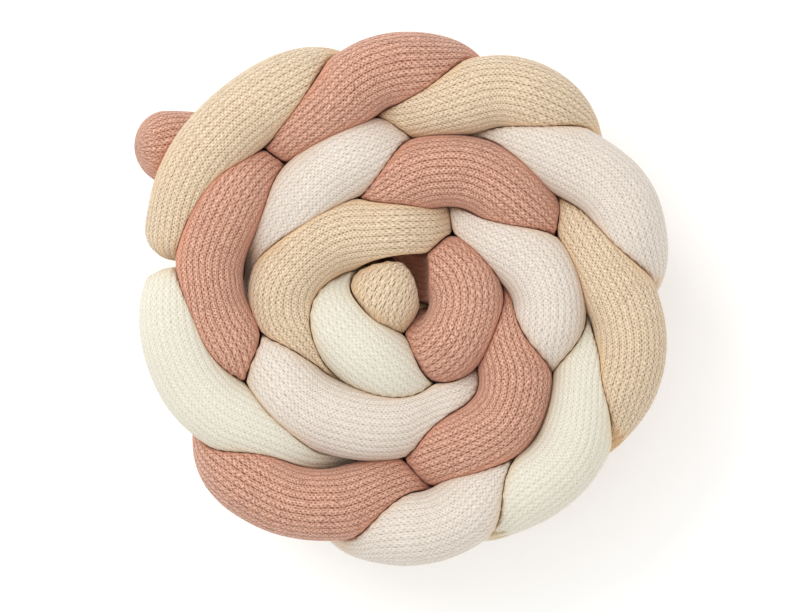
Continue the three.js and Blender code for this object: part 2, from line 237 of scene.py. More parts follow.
@dataclass(frozen=True)
class Plait:
    """The plait as its arches lay it, before the tubes press on each other."""

    levels: int = 4
    floor_axis: float = 25.0
    top_axis: float = 155.5
    shoulder_rise: float = 0.36
    shoulder_fall: float = 0.2
    shoulder_drop: float = 0.06
    tail_share: float = 0.16
    tail_rise: float = 0.6
    tail_fall: float = 0.8
    tail_turn: float = 0.48
    tail_gap: float = 1.0
    end_gap: float = 2.0
    key_spacing: float = 4.0
    key_clearance: float = 5.0
    inner_set: float = 12.0
    side_swing: float = 8.0
    core_radius: float = 55.0
    angle_step: float = 1.0
    lay_step: float = 16.0

    @property
    def middle_angles(self) -> list[float]:
        """Angle at the middle of each arch."""
        return [arch.centre for arch in ARCHES]

    @property
    def middle_radii(self) -> list[float]:
        """Distance of the plait's middle line from the coil's middle at each arch."""
        return [max(self.core_radius, (arch.radii[1] + arch.radii[2]) / 2) for arch in ARCHES]

    def height(self, level: np.ndarray | float) -> np.ndarray | float:
        """Height of the middle line of a tube that lies on a level, 0 being the upper one."""
        return self.top_axis - (self.top_axis - self.floor_axis) / (self.levels - 1) * level

    def _at(self, values: list[float], time: float) -> float:
        """Value of the plait's middle line at a time counted in arches."""
        return float(smooth_through(range(len(ARCHES)), values, np.array([time]))[0])

    def crossings(self) -> list[tuple[float, int, Tone, Tone]]:
        """Work out which tubes swap, and when.

        At each half step the two upper tubes swap, and so does the lower pair unless that
        would bury the next tube. At a whole step the two in the middle swap when the tube
        of the next arch has to come up.

        Returns:
            Time, upper level of the two, the tube that falls and the one that rises.
        """
        order = list(Tone)
        found: list[tuple[float, int, Tone, Tone]] = []

        def swap(time: float, level: int) -> None:
            """Let the tubes on this level and the next change places."""
            found.append((time, level, order[level], order[level + 1]))
            order[level], order[level + 1] = order[level + 1], order[level]

        for k in range(len(ARCHES) - 1):
            if order[1] is not ARCHES[k + 1].tone:
                swap(float(k), 1)
            swap(k + 0.5, 0)
            if k + 2 < len(ARCHES) and ARCHES[k + 2].tone in (order[1], order[3]):
                swap(k + 0.5, 2)
        return found

    def _arch_keys(self, arch: Arch, before: float, after: float) -> tuple[list, list]:
        """Keys of one arch: its shoulders, its two ends and the tails on which it dives.

        Args:
            arch: The arch.
            before: Angle at which the same tube's arch before it ends.
            after: Angle at which the same tube's next arch starts.

        Returns:
            Keys of the level and keys of the radius, each a list of (angle, value).
        """
        start, stop, span = arch.start, arch.stop, arch.span
        first = max(start - span * self.tail_share, (before + start) / 2 + self.tail_gap)
        last = min(stop + span * self.tail_share, (stop + after) / 2 - self.tail_gap)
        levels = [
            (first, arch.dips[0] + self.tail_rise),
            (start, arch.dips[0]),
            (start + span * self.shoulder_rise, self.shoulder_drop),
            (stop - span * self.shoulder_fall, self.shoulder_drop),
            (stop, arch.dips[1]),
        ]
        r = arch.radii
        radii = [(first, r[0] - self.tail_turn * (r[1] - r[0]))]
        radii += [(start + span * j / (len(r) - 1), value) for j, value in enumerate(r)]
        if arch is not ARCHES[-1]:
            levels.append((last, arch.dips[1] + self.tail_fall))
            radii.append((last, r[3] - self.tail_turn * (r[2] - r[3])))
        return levels, radii

    def _hidden_keys(self, tone: Tone, own: list[Arch]) -> tuple[list, list]:
        """Keys where a tube runs below the upper edge, set by the plait's crossings.

        Two tubes that swap meet half way between their levels, one swung out and the other
        in. Where a tube swaps on the two upper levels, its arches have the keys.

        Args:
            tone: Colour of the tube.
            own: Its arches.

        Returns:
            Keys of the level and keys of the radius.
        """
        levels: list[tuple[float, float]] = []
        radii: list[tuple[float, float]] = []
        level = float(list(Tone).index(tone))
        crossings = self.crossings()
        for half_steps in range(2 * len(ARCHES)):
            time = half_steps / 2
            hit = [c for c in crossings if c[0] == time and tone in c[2:]]
            angle = self._at(self.middle_angles, time)
            height, swing = level, 0.0
            if hit:
                _, upper, falling, _ = hit[0]
                falls = tone is falling
                height = upper + 0.5
                swing = self.side_swing if falls == (upper != 1) else -self.side_swing
                level = float(upper + 1 if falls else upper)
                if upper == 0:
                    continue
            margins = [self.tail_share * arch.span + self.key_clearance for arch in own]
            taken = any(a.start - m < angle < a.stop + m for a, m in zip(own, margins))
            if taken or (tone is ARCHES[-1].tone and angle > ARCHES[-1].start):
                continue
            levels.append((angle, height))
            radii.append((angle, self._at(self.middle_radii, time) - self.inner_set + swing))
        return levels, radii

    def _tidy(self, keys: list[tuple[float, float]]) -> list[tuple[float, float]]:
        """Keys in the order of their angles, with those that all but coincide made one."""
        keys = sorted(keys)
        tidy = [keys[0]]
        for angle, value in keys[1:]:
            if angle - tidy[-1][0] >= self.key_spacing:
                tidy.append((angle, value))
            else:
                tidy[-1] = ((tidy[-1][0] + angle) / 2, (tidy[-1][1] + value) / 2)
        return tidy

    def keys(self, tone: Tone) -> tuple[list, list]:
        """All keys of one tube over the angle.

        Args:
            tone: Colour of the tube.

        Returns:
            Keys of the level and keys of the radius.
        """
        own = [arch for arch in ARCHES if arch.tone is tone]
        levels, radii = self._hidden_keys(tone, own)
        for i, arch in enumerate(own):
            before = own[i - 1].stop if i else -math.inf
            after = own[i + 1].start if i + 1 < len(own) else math.inf
            arch_levels, arch_radii = self._arch_keys(arch, before, after)
            levels += arch_levels
            radii += arch_radii
        ends = ENDS[tone]
        beyond = ends[-1].angle + self.end_gap
        levels = [(e.angle, e.level) for e in ends] + [k for k in levels if k[0] > beyond]
        radii = [(e.angle, e.radius) for e in ends] + [k for k in radii if k[0] > beyond]
        return self._tidy(levels), self._tidy(radii)

    def line(self, tone: Tone) -> np.ndarray:
        """Middle line of a tube at even steps.

        A point stands at the curve through the radius keys from the coil's middle, turned
        by its angle, and at the height of the curve through the level keys.

        Args:
            tone: Colour of the tube.

        Returns:
            Points in millimetres.
        """
        levels, radii = self.keys(tone)
        angle = np.arange(ENDS[tone][0].angle, levels[-1][0] + TINY, self.angle_step)
        radius = smooth_through(*zip(*radii), angle)
        height = self.height(smooth_through(*zip(*levels), angle))
        turn = np.radians(angle)
        rough = np.stack([
            radius * np.sin(turn),
            radius * np.cos(turn),
            np.clip(height, self.floor_axis, self.top_axis),
        ], axis=1)
        along = lengths_along(rough)
        even = np.linspace(0, along[-1], max(2, round(along[-1] / self.lay_step)) + 1)
        return np.stack([np.interp(even, along, rough[:, i]) for i in range(3)], axis=1)


@dataclass(frozen=True)
class Pressing:
    """How the tubes of the coil push each other apart until they only touch.

    A tube doesn't push its own points that are nearer along it than the own reach, which
    is counted in rest distances.
    """

    rest_distance: float = 52.0
    own_reach: float = 1.7
    rounds: int = 60
    rate: float = 0.35
    stiffness: float = 0.3
    outer_reach: float = -14.0
    hidden_hold: float = 0.01
    arch_hold: float = 0.6
    hold_width: float = 1.15
    end_points: int = 4

    def holds(self, plait: Plait, tone: Tone, line: np.ndarray) -> tuple[np.ndarray, np.ndarray]:
        """Work out how strongly each point keeps its place, and how far out it may go.

        Over an arch the hold falls from its middle with the fourth power of the distance.
        Only a point with a hold of less than twice the hidden one is kept from going out.

        Args:
            plait: The plait that laid the line.
            tone: Colour of the tube.
            line: Its middle line.

        Returns:
            The hold and the greatest distance from the coil's middle, one for each point.
        """
        seen = np.degrees(np.unwrap(np.arctan2(line[:, 0], line[:, 1])))
        angle = seen + 360 * round((ENDS[tone][0].angle - seen[0]) / 360)
        hold = np.full(len(line), self.hidden_hold)
        for arch in (a for a in ARCHES if a.tone is tone):
            u = np.abs(angle - arch.centre) / (arch.span / 2 * self.hold_width)
            grip = self.hidden_hold + self.arch_hold * (1 - u ** 4)
            hold = np.maximum(hold, np.where(u < 1, grip, 0))
        hold[:self.end_points] = self.arch_hold
        reach = np.interp(angle, plait.middle_angles, plait.middle_radii) + self.outer_reach
        return hold, np.where(hold > 2 * self.hidden_hold, np.inf, reach)

    def settle(self, plait: Plait, laid: dict[Tone, np.ndarray],
               holds: dict[Tone, tuple[np.ndarray, np.ndarray]]) -> dict[Tone, np.ndarray]:
        """Push the lines apart where they are closer than the rest distance.

        Each round moves a point by a share of the mean push, weighted with the square of
        each overlap, evens out its bend, and takes it back towards its place by its hold.

        Args:
            plait: The plait, for its lowest and highest level.
            laid: Middle lines as the plait lays them.
            holds: Hold and reach of each line's points.

        Returns:
            The settled middle lines.
        """
        tones = list(laid)
        counts = [len(laid[t]) for t in tones]
        tube = np.repeat(np.arange(len(tones)), counts)
        index = np.concatenate([np.arange(n) for n in counts])
        near = round(self.own_reach * self.rest_distance / plait.lay_step)
        beside = np.abs(index[:, None] - index[None]) < near
        own = (tube[:, None] == tube[None]) & beside
        inside = np.zeros(len(tube), bool)
        inside[1:-1] = (tube[:-2] == tube[1:-1]) & (tube[2:] == tube[1:-1])
        home = np.concatenate([laid[t] for t in tones])
        hold = np.concatenate([holds[t][0] for t in tones])[:, None]
        reach = np.concatenate([holds[t][1] for t in tones])
        at = home.copy()
        for _ in range(self.rounds):
            away = at[:, None] - at[None]
            distance = np.sqrt((away * away).sum(-1)) + TINY
            overlap = np.where(own, 0, np.maximum(0, self.rest_distance - distance))
            weight = overlap * overlap
            push = (away / distance[..., None] * (weight * overlap)[..., None]).sum(1)
            at = at + self.rate * push / (weight.sum(1)[:, None] + SMALL)
            bend = np.zeros_like(at)
            bend[1:-1] = at[:-2] + at[2:] - 2 * at[1:-1]
            at = at + self.stiffness * bend * inside[:, None]
            at = at + hold * (home - at)
            at[:, 2] = np.clip(at[:, 2], plait.floor_axis, plait.top_axis)
            out = np.hypot(at[:, 0], at[:, 1])
            at[:, :2] *= np.minimum(1, reach / out)[:, None]
        return dict(zip(tones, np.split(at, np.cumsum(counts)[:-1])))


class TubeLine:
    """A smooth curve through the points of a settled line, read by its length."""

    def __init__(self, points: np.ndarray, hold: np.ndarray, full_hold: float,
                 step: float) -> None:
        """Measure the line and place its sample points.

        Args:
            points: Settled points.
            hold: Hold of each point, which says how far it belongs to an arch.
            full_hold: Hold at which a point belongs to an arch altogether.
            step: Distance between two samples.
        """
        self._points = points
        self._along = lengths_along(points)
        self.length = float(self._along[-1])
        self.stations = np.linspace(0, self.length, round(self.length / step) + 1)
        self.samples = self.at(self.stations)
        share = smooth_through(self._along, np.minimum(1, hold / full_hold), self.stations)
        self.arch_share = np.clip(share, 0, 1)

    def at(self, s: np.ndarray) -> np.ndarray:
        """Points of the curve at the given lengths."""
        return np.stack([smooth_through(self._along, self._points[:, i], s) for i in range(3)], 1)

    def frames(self, s: np.ndarray, reach: float) -> tuple[np.ndarray, np.ndarray, np.ndarray]:
        """Directions at the given lengths.

        The first direction runs along the curve, from a point behind to one ahead, the
        second points as far up as it can, and the third is square to both.

        Args:
            s: Lengths along the curve.
            reach: How far behind and ahead the curve is read.

        Returns:
            Three arrays of unit vectors.
        """
        ahead = self.at(np.minimum(self.length, s + reach)) - self.at(np.maximum(0, s - reach))
        ahead /= np.linalg.norm(ahead, axis=1)[:, None]
        up = np.array([0, 0, 1.0]) - ahead * ahead[:, 2:]
        up /= np.linalg.norm(up, axis=1)[:, None]
        return ahead, up, np.cross(ahead, up)


@dataclass(frozen=True)
class TubeSizes:
    """Sizes of one stuffed tube and of the grid of its surface, in millimetres."""

    # The tube, and the two round ends
    radius: float = 28.5
    cap_length: float = 25.0
    cap_rings: int = 9
    pole_inset: float = 1.2

    # How it meets its neighbours. A tube doesn't meet itself nearer than the own reach.
    contact_gap: float = 0.3
    contact_sharpness: float = 150.0
    full_rise: float = 26.0
    least_share: float = 0.02
    roundness: float = 1.4
    most_room: float = 0.7
    wall_slope: float = 3.0
    farthest: float = 90.0
    nearest: int = 150
    own_reach: float = 62.7
    least_apart: float = 1.0
    smallest_radius: float = 4.0

    # How full it is, from the least to the most, over an arch and where it is hidden
    least_fullness: float = 0.96
    arch_fullness: float = 1.04
    hidden_fullness: float = 1.12
    fullness_rounds: int = 12
    fullness_rate: float = 0.4
    probes: int = 24

    # The grid, and how often it is evened out
    sample_step: float = 8.0
    ring_step: float = 4.5
    row_groups: int = 8
    evenings: int = 1
    evenings_around: int = 3
    turn_rounds: int = 6
    least_step: float = 2.4
    uncrossings: int = 60

    # Ribs, one row of depths to a rib, and how they fade where pressed and at the ends
    rib_profile: tuple[float, ...] = (1.0, 0.05, 0.2, 0.05)
    rib_depth: float = 0.45
    flattening: float = 0.9
    # Nearness to the neighbours starts at crease_start and fades over crease_fade; it flattens
    # the ribs and masks the painted crease shade
    crease_start: float = 0.5
    crease_fade: float = 2.2
    rib_fade: float = 14.0
    end_rib_share: float = 0.25

    # Uneven stuffing: its size, its waves' lengths and laps, and the room that it needs
    swell: float = 0.35
    swell_waves: tuple[float, float] = (45.0, 120.0)
    swell_laps: tuple[int, ...] = (0, 1, 1, 2, 2, 3, 3)
    swell_seed: int = 11
    swell_room: float = 6.0

    # Small folds at the gathered ends
    gather_depth: float = 1.4
    gather_folds: int = 15
    gather_reach: float = 11.0

    @property
    def sides(self) -> int:
        """Number of points around the tube."""
        return WALES * len(self.rib_profile)


@dataclass(frozen=True)
class Skin:
    """A tube's surface: a grid of rings, and the two points that close its ends.

    Along holds each ring's length along the tube, and close each point's nearness to the
    neighbours, from 0 to 1, which flattens the ribs and masks the knit's painted crease shade.
    """

    points: np.ndarray
    along: np.ndarray
    close: np.ndarray
    poles: np.ndarray


@dataclass
class StuffedTube:
    """One long tube of ribbed knit, stuffed, pressed by its neighbours and closed at its ends."""

    tone: Tone
    lines: dict[Tone, TubeLine]
    sizes: TubeSizes

    @property
    def line(self) -> TubeLine:
        """The tube's own middle line."""
        return self.lines[self.tone]

    def _walls(self, to: np.ndarray, apart: np.ndarray, directions: np.ndarray) -> np.ndarray:
        """How far the tube reaches before it meets the walls that it shares with others.

        Two tubes at one height share a flat wall half way between them. The more one lies
        above the other, the rounder it stays and the more of the room it takes. Its wall
        is then part of a ball that reaches behind its centre, and the lower tube's reach
        ends where a line from its own centre enters that ball. A line that passes the ball
        ends beside it, further out the more it passes by.

        Args:
            to: Vectors from each centre of this tube to points of the other lines.
            apart: Their lengths.
            directions: Unit vectors, one row of them for each centre.

        Returns:
            One length for each direction, the nearest wall's.
        """
        z = self.sizes
        rise = np.clip(np.abs(to[..., 2]) / z.full_rise, 0, 1)
        share = rise * (1.5 - 0.5 * rise * rise)
        behind = z.radius * (z.roundness / np.maximum(share, z.least_share) - 1)
        room = np.minimum(z.radius, z.most_room * apart) - apart / 2
        ball = apart / 2 + np.maximum(0, room) * share + behind
        under = to[..., 2] > 0
        centre = np.where(under, apart + behind, behind)
        sign = np.where(under, 1.0, -1.0)
        over = np.einsum("nac,nmc->nam", directions, to) * (sign * centre / apart)[:, None]
        inside = over * over - ((centre - ball) * (centre + ball))[:, None]
        reach = over - sign[:, None] * np.sqrt(np.maximum(inside, 0))
        past = np.sqrt(np.maximum((centre * centre)[:, None] - over * over, 0)) - ball[:, None]
        reach = np.where(inside > 0, reach, over + z.wall_slope * past)
        reach = np.where(under[:, None] & (over <= 0), FAR, reach)
        return np.where((apart > z.farthest)[:, None], FAR, reach).min(-1)

    def _limits(self, s: np.ndarray, centres: np.ndarray, directions: np.ndarray) -> np.ndarray:
        """How far the tube reaches in each direction before it meets another one.

        The nearest points of the lines count, without those close by on the tube itself.

        Args:
            s: Lengths along the tube.
            centres: Points of its middle line there.
            directions: Unit vectors, one row of them for each point.

        Returns:
            One limit for each direction, less half of the gap, and evened out along.
        """
        z = self.sizes
        others = np.concatenate([line.samples for line in self.lines.values()])
        places = np.concatenate([
            line.stations if tone is self.tone else np.full(len(line.stations), np.inf)
            for tone, line in self.lines.items()
        ])
        limits = []
        for rows in np.array_split(np.arange(len(s)), z.row_groups):
            to = others[None] - centres[rows, None]
            square = (to * to).sum(-1)
            square[np.abs(places[None] - s[rows, None]) < z.own_reach] = FAR
            near = np.argpartition(square, z.nearest, axis=1)[:, :z.nearest]
            to = np.take_along_axis(to, near[..., None], axis=1)
            apart = np.sqrt(np.take_along_axis(square, near, axis=1))
            limits.append(self._walls(to, np.maximum(apart, z.least_apart), directions[rows]))
        limit = np.concatenate(limits) - z.contact_gap / 2
        nearness = 1 / np.maximum(limit, z.smallest_radius)
        for _ in range(z.evenings):
            nearness[1:-1] = (nearness[:-2] + 2 * nearness[1:-1] + nearness[2:]) / 4
        return 1 / nearness

    def _evened_around(self, limits: np.ndarray) -> np.ndarray:
        """Limits whose inverses are half their own and a quarter of either one beside it."""
        nearness = 1 / limits
        for _ in range(self.sizes.evenings_around):
            beside = np.roll(nearness, 1, axis=1) + np.roll(nearness, -1, axis=1)
            nearness = nearness / 2 + beside / 4
        return 1 / nearness

    def _uncrossed(self, points: np.ndarray, ahead: np.ndarray) -> np.ndarray:
        """Even out the rings where they crowd or cross on the inner side of a bend.

        Where the step to the next ring is shorter than the least one, each round moves the
        points half way or less towards the middle of the two beside them along the tube.

        Args:
            points: The grid of rings.
            ahead: Direction of the middle line at each ring.

        Returns:
            The grid, with its first and last rings as they were.
        """
        points = points.copy()
        body = slice(self.sizes.cap_rings, -self.sizes.cap_rings)
        inner = points[body]
        middle_way = (ahead[body][:-1] + ahead[body][1:]) / 2
        for _ in range(self.sizes.uncrossings):
            step = (np.diff(inner, axis=0) * middle_way[:, None]).sum(-1)
            tight = np.clip(1 - step / self.sizes.least_step, 0, 1)
            pull = np.maximum(tight[:-1], tight[1:])[..., None] / 2
            inner[1:-1] += pull * ((inner[:-2] + inner[2:]) / 2 - inner[1:-1])
        return points

    def _section(self, free: np.ndarray, limits: np.ndarray, centres: np.ndarray,
                 directions: np.ndarray) -> np.ndarray:
        """Radii of sections, round where free and flat where pressed or on the floor.

        The radius r of a free radius f under a limit l is f (1 + (f / l)^n)^(-1 / n).

        Args:
            free: Free radius of each section.
            limits: Limits of each section's directions.
            centres: Centres of the sections.
            directions: Directions of each section.

        Returns:
            One radius for each direction.
        """
        n = self.sizes.contact_sharpness
        f = free[:, None]
        pressed = f * (1 + (f / limits) ** n) ** (-1 / n)
        return np.minimum(pressed, self._floor(centres, directions))

    @staticmethod
    def _floor(centres: np.ndarray, directions: np.ndarray) -> np.ndarray:
        """Length to the floor: a centre's height over the share of a direction that is down."""
        return centres[:, 2:] / np.maximum(-directions[..., 2], SMALL)

    def _free_radii(self) -> np.ndarray:
        """Free radius at each sample, fuller where the tube is squeezed.

        Each round scales a radius by a power of full area over present area, keeps it in
        its range, and evens it out with its neighbours.

        Returns:
            One radius for each of the line's samples.
        """
        z, line = self.sizes, self.line
        _, up, side = line.frames(line.stations, z.sample_step)
        turns = self._turns(z.probes)
        directions = self._spread(up, side, np.broadcast_to(turns, (len(up), z.probes)))
        limits = self._limits(line.stations, line.samples, directions)
        full = math.pi * z.radius ** 2
        most = z.hidden_fullness + (z.arch_fullness - z.hidden_fullness) * line.arch_share
        free = np.full(len(up), z.radius)
        for _ in range(z.fullness_rounds):
            r = self._section(free, limits, line.samples, directions)
            area = 0.5 * math.sin(turns[1]) * (r * np.roll(r, -1, axis=1)).sum(1)
            free = free * (full / area) ** z.fullness_rate
            free = np.clip(free, z.radius * z.least_fullness, z.radius * most)
            free[1:-1] = (free[:-2] + 2 * free[1:-1] + free[2:]) / 4
        return free

    @staticmethod
    def _turns(count: int) -> np.ndarray:
        """Even turns around a tube."""
        return np.arange(count) * 2 * math.pi / count

    @staticmethod
    def _spread(up: np.ndarray, side: np.ndarray, turns: np.ndarray) -> np.ndarray:
        """Unit vectors across the tube: up times cosine plus side times sine of each turn."""
        return up[:, None] * np.cos(turns)[..., None] + side[:, None] * np.sin(turns)[..., None]

    def _even_turns(self, turns: np.ndarray, radii: np.ndarray,
                    twist: np.ndarray) -> np.ndarray:
        """Turns at which points stand evenly around each section, so that all ribs are alike.

        The girth is added up over the turns, and read backwards at even shares of it. The
        start is moved until the points' mean turn is the section's own twist. One call
        reads all sections, as each one's shares are moved by twice its number.

        Args:
            turns: Even turns of the measured radii.
            radii: Radii of each section at those turns.
            twist: Turn by which each section's ribs are turned.

        Returns:
            One row of turns for each section.
        """
        sides = self.sizes.sides
        lap = 2 * math.pi
        following = np.roll(radii, -1, axis=1)
        square = radii ** 2 + following ** 2 - 2 * radii * following * math.cos(turns[1])
        girth = np.cumsum(np.sqrt(square), axis=1)
        share = np.concatenate([np.zeros((len(radii), 1)), girth], axis=1) / girth[:, -1:]
        moved = 2 * np.arange(len(radii))[:, None]
        edges = (share + moved).ravel()
        angles = np.broadcast_to(np.append(turns, lap), share.shape).ravel()
        shift = twist / lap
        wanted = twist + math.pi * (1 - 1 / sides)
        for _ in range(self.sizes.turn_rounds):
            ask = np.arange(sides) / sides + shift[:, None]
            laps = np.floor(ask)
            got = np.interp((ask - laps + moved).ravel(), edges, angles).reshape(ask.shape)
            got += lap * laps
            shift = shift - (got.mean(axis=1) - wanted) / lap
        return got

    def _stations(self) -> tuple[np.ndarray, np.ndarray]:
        """Where the rings stand: even steps between two round ends.

        In a round end the length grows with 1 - cos t and the radius with sin t.

        Returns:
            Lengths along the tube, and the scale of each ring's radius.
        """
        z, length = self.sizes, self.line.length
        t = np.arange(1, z.cap_rings + 1) / (z.cap_rings + 1) * math.pi / 2
        cap, scale = z.cap_length * (1 - np.cos(t)), np.sin(t)
        straight = length - 2 * z.cap_length
        body = z.cap_length + np.linspace(0, straight, round(straight / z.ring_step) + 1)
        s = np.concatenate([cap, body, length - cap[::-1]])
        return s, np.concatenate([scale, np.ones(len(body)), scale[::-1]])

    @staticmethod
    def _twist(up: np.ndarray, side: np.ndarray) -> np.ndarray:
        """Turn of the ribs against the up direction, so that they don't spiral on the cloth.

        From ring to ring the up direction turns about the tube by the angle whose sine is
        its share along the side direction. The ribs are turned back by the sum of it.

        Args:
            up: Up directions of the rings.
            side: Side directions of the rings.

        Returns:
            One angle for each ring.
        """
        turned = np.arcsin(np.clip((up[1:] * side[:-1]).sum(1), -1, 1))
        return -np.concatenate([[0.0], np.cumsum(turned)])

    def _swell(self, s: np.ndarray, turns: np.ndarray) -> np.ndarray:
        """Uneven stuffing: a sum of long waves along and around the tube, seeded by its colour.

        Args:
            s: Lengths along the tube.
            turns: Turns of each ring's points.

        Returns:
            Height in millimetres, within about one size either way.
        """
        z = self.sizes
        seeded = np.random.default_rng(z.swell_seed + list(Tone).index(self.tone))
        height = np.zeros(turns.shape)
        for laps in z.swell_laps:
            wave = 2 * math.pi / seeded.uniform(*z.swell_waves)
            start = seeded.uniform(0, 2 * math.pi)
            height += np.cos(laps * turns + wave * s[:, None] + start)
        return height * z.swell / math.sqrt(len(z.swell_laps))

    def skin(self) -> Skin:
        """Work out the tube's surface as a grid of rings.

        A point is the middle line plus a direction times a radius. The radius is the
        pressed section's, plus the swell of the stuffing where the tube is free, less the
        small folds at a gathered end and the groove between two ribs, which is all but
        flat where the tube is pressed.

        Returns:
            The surface.
        """
        z, line = self.sizes, self.line
        s, scale = self._stations()
        centres = line.at(s)
        ahead, up, side = line.frames(s, z.sample_step)
        coarse = self._turns(z.sides)
        free = smooth_through(line.stations, self._free_radii(), s)
        directions = self._spread(up, side, np.broadcast_to(coarse, (len(s), z.sides)))
        limits = self._limits(s, centres, directions)
        radii = self._section(free, limits, centres, directions)
        turns = self._even_turns(coarse, radii, self._twist(up, side))
        directions = self._spread(up, side, turns)
        limits = self._evened_around(self._limits(s, centres, directions))
        radii = self._section(free, limits, centres, directions)
        # Nearness to the neighbours, from 0 to 1: it flattens the ribs below, and the knit paints
        # its crease shade by it
        close = np.exp(-np.maximum(limits - radii - z.crease_start, 0) / z.crease_fade)
        room = np.minimum(limits, self._floor(centres, directions)) - radii
        radii = radii + self._swell(s, turns) * np.clip(room / z.swell_room, 0, 1)
        end = np.minimum(s, line.length - s)[:, None]
        fold = 0.5 + 0.5 * np.cos(z.gather_folds * turns)
        radii = radii - z.gather_depth * fold * np.exp(-((end / z.gather_reach) ** 2))
        groove = np.tile(np.asarray(z.rib_profile), WALES) * (1 - z.flattening * close)
        groove = groove * np.clip(end / z.rib_fade, z.end_rib_share, 1)
        radii = (radii - z.rib_depth * groove) * scale[:, None]
        points = self._uncrossed(centres[:, None] + directions * radii[..., None], ahead)
        points[..., 2] = np.maximum(points[..., 2], 0.0)
        poles = line.at(np.array([z.pole_inset, line.length - z.pole_inset]))
        return Skin(points, s, close, poles)

    def build(self, skin: Skin, shift: np.ndarray) -> bpy.types.Object:
        """Make the tube's mesh object.

        The knit's map has the share around the tube and the length along it, in metres.

        Args:
            skin: The tube's surface.
            shift: Millimetres by which the whole coil is moved.

        Returns:
            The object, at the origin, with its place in its mesh.
        """
        rings, sides = skin.points.shape[:2]
        corners = np.concatenate([skin.points.reshape(-1, 3), skin.poles])
        corners = (corners + shift) * METRES
        points, row, column, starts = tube_faces(rings, sides)
        lengths = np.concatenate([[0.0], skin.along, [skin.along[0] + skin.along[-1]]])
        uv = np.stack([column / sides, lengths[row] * METRES], axis=-1)
        close = np.append(skin.close.ravel(), [0.0, 0.0])
        mesh = bpy.data.meshes.new(self.tone.node + "_knit")
        mesh.vertices.add(len(corners))
        mesh.vertices.foreach_set("co", corners.astype(np.float32).ravel())
        mesh.loops.add(len(points))
        mesh.loops.foreach_set("vertex_index", points.astype(np.int32))
        mesh.polygons.add(len(starts))
        mesh.polygons.foreach_set("loop_start", starts.astype(np.int32))
        mesh.polygons.foreach_set("use_smooth", np.ones(len(starts), bool))
        mesh.update(calc_edges=True)
        layer = mesh.uv_layers.new(name="knit")
        layer.data.foreach_set("uv", uv.astype(np.float32).ravel())
        # The nearness goes with the mesh as the mask of the knit's painted crease shade
        shade = mesh.attributes.new("close", "FLOAT", "POINT")
        shade.data.foreach_set("value", close.astype(np.float32))
        mesh.validate()
        tube = put(f"{self.tone.value}_stuffed_tube", mesh)
        LOG.info("%s: %.2f m long, %d sides, %d faces", tube.name,
                 self.line.length * METRES, sides, len(starts))
        return tube

    def dress(self, tube: bpy.types.Object, finish: "RibbedKnit") -> None:
        """Give the tube its knit, attach it to the root body and hide the CAD solid that it
        stands for.

        Args:
            tube: The tube's object.
            finish: The knit of its colour.
        """
        tube.data.materials.append(finish.material())
        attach(tube, "root")
        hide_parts(self.tone.node)


def maths_method(operation: str, reflected: bool = False) -> Callable[..., "Signal"]:
    """Make a method that adds one Math node.

    Args:
        operation: The node's operation.
        reflected: Whether the values change places.

    Returns:
        The method.
    """
    def method(self: "Signal", *others: "Signal | float") -> "Signal":
        """Add the Math node to the signal's graph."""
        values = (self, *others)
        return self.maths(operation, *(reversed(values) if reflected else values))

    return method


class Signal:
    """A node's output with arithmetic on it, each operation one Math node."""

    def __init__(self, graph: "Graph", socket: bpy.types.NodeSocket) -> None:
        """Keep the output and the graph that it belongs to."""
        self.graph = graph
        self.socket = socket

    def maths(self, operation: str, *values: "Signal | float") -> "Signal":
        """A Math node of the given operation on the values."""
        inputs = dict(enumerate(values))
        return self.graph.node("ShaderNodeMath", {"operation": operation}, inputs)

    __add__ = maths_method("ADD")
    __radd__ = maths_method("ADD", reflected=True)
    __sub__ = maths_method("SUBTRACT")
    __rsub__ = maths_method("SUBTRACT", reflected=True)
    __mul__ = maths_method("MULTIPLY")
    __rmul__ = maths_method("MULTIPLY", reflected=True)
    __pow__ = maths_method("POWER")
    __mod__ = maths_method("FLOORED_MODULO")
    __abs__ = maths_method("ABSOLUTE")
    floor = maths_method("FLOOR")

    def wave(self) -> "Signal":
        """A wave from 0 to 1 with one crest at each whole number: half of 1 + cos(2 pi x)."""
        return 0.5 + 0.5 * self.maths("COSINE", self * (2 * math.pi))

    def clipped(self) -> "Signal":
        """The value kept between 0 and 1."""
        return self.maths("MINIMUM", self.maths("MAXIMUM", self, 0.0), 1.0)


class Graph:
    """The node tree of one material."""

    def __init__(self, name: str) -> None:
        """Start an empty material.

        Args:
            name: The material's name.
        """
        self.material = bpy.data.materials.new(name)
        self.material.use_nodes = True
        self.tree = self.material.node_tree
        self.tree.nodes.clear()

    def node(self, kind: str, settings: dict | None = None, inputs: dict | None = None,
             output: int | str = 0) -> Signal | None:
        """Add any node.

        Args:
            kind: Blender's name of the node's type.
            settings: Properties, set before the sockets.
            inputs: Values or signals for the sockets, by name or number.
            output: Which output to return.

        Returns:
            The chosen output, or None for a node that has none.
        """
        made = self.tree.nodes.new(kind)
        for key, value in (settings or {}).items():
            setattr(made, key, value)
        for key, value in (inputs or {}).items():
            if isinstance(value, Signal):
                self.tree.links.new(value.socket, made.inputs[key])
            else:
                made.inputs[key].default_value = value
        return Signal(self, made.outputs[output]) if len(made.outputs) else None

    def finish(self, inputs: dict) -> None:
        """End the tree in a Principled shader with the given sockets and the output."""
        shader = self.node("ShaderNodeBsdfPrincipled", None, inputs)
        self.node("ShaderNodeOutputMaterial", None, {"Surface": shader})

    def blend(self, factor: Signal, a: "Signal | tuple", b: "Signal | tuple") -> Signal:
        """Mix two colours, by the numbers of a Mix node's colour sockets.

        Args:
            factor: Share of the second colour.
            a: First colour.
            b: Second colour.

        Returns:
            The mixed colour.
        """
        return self.node("ShaderNodeMix", {"data_type": "RGBA"}, {0: factor, 6: a, 7: b}, 2)


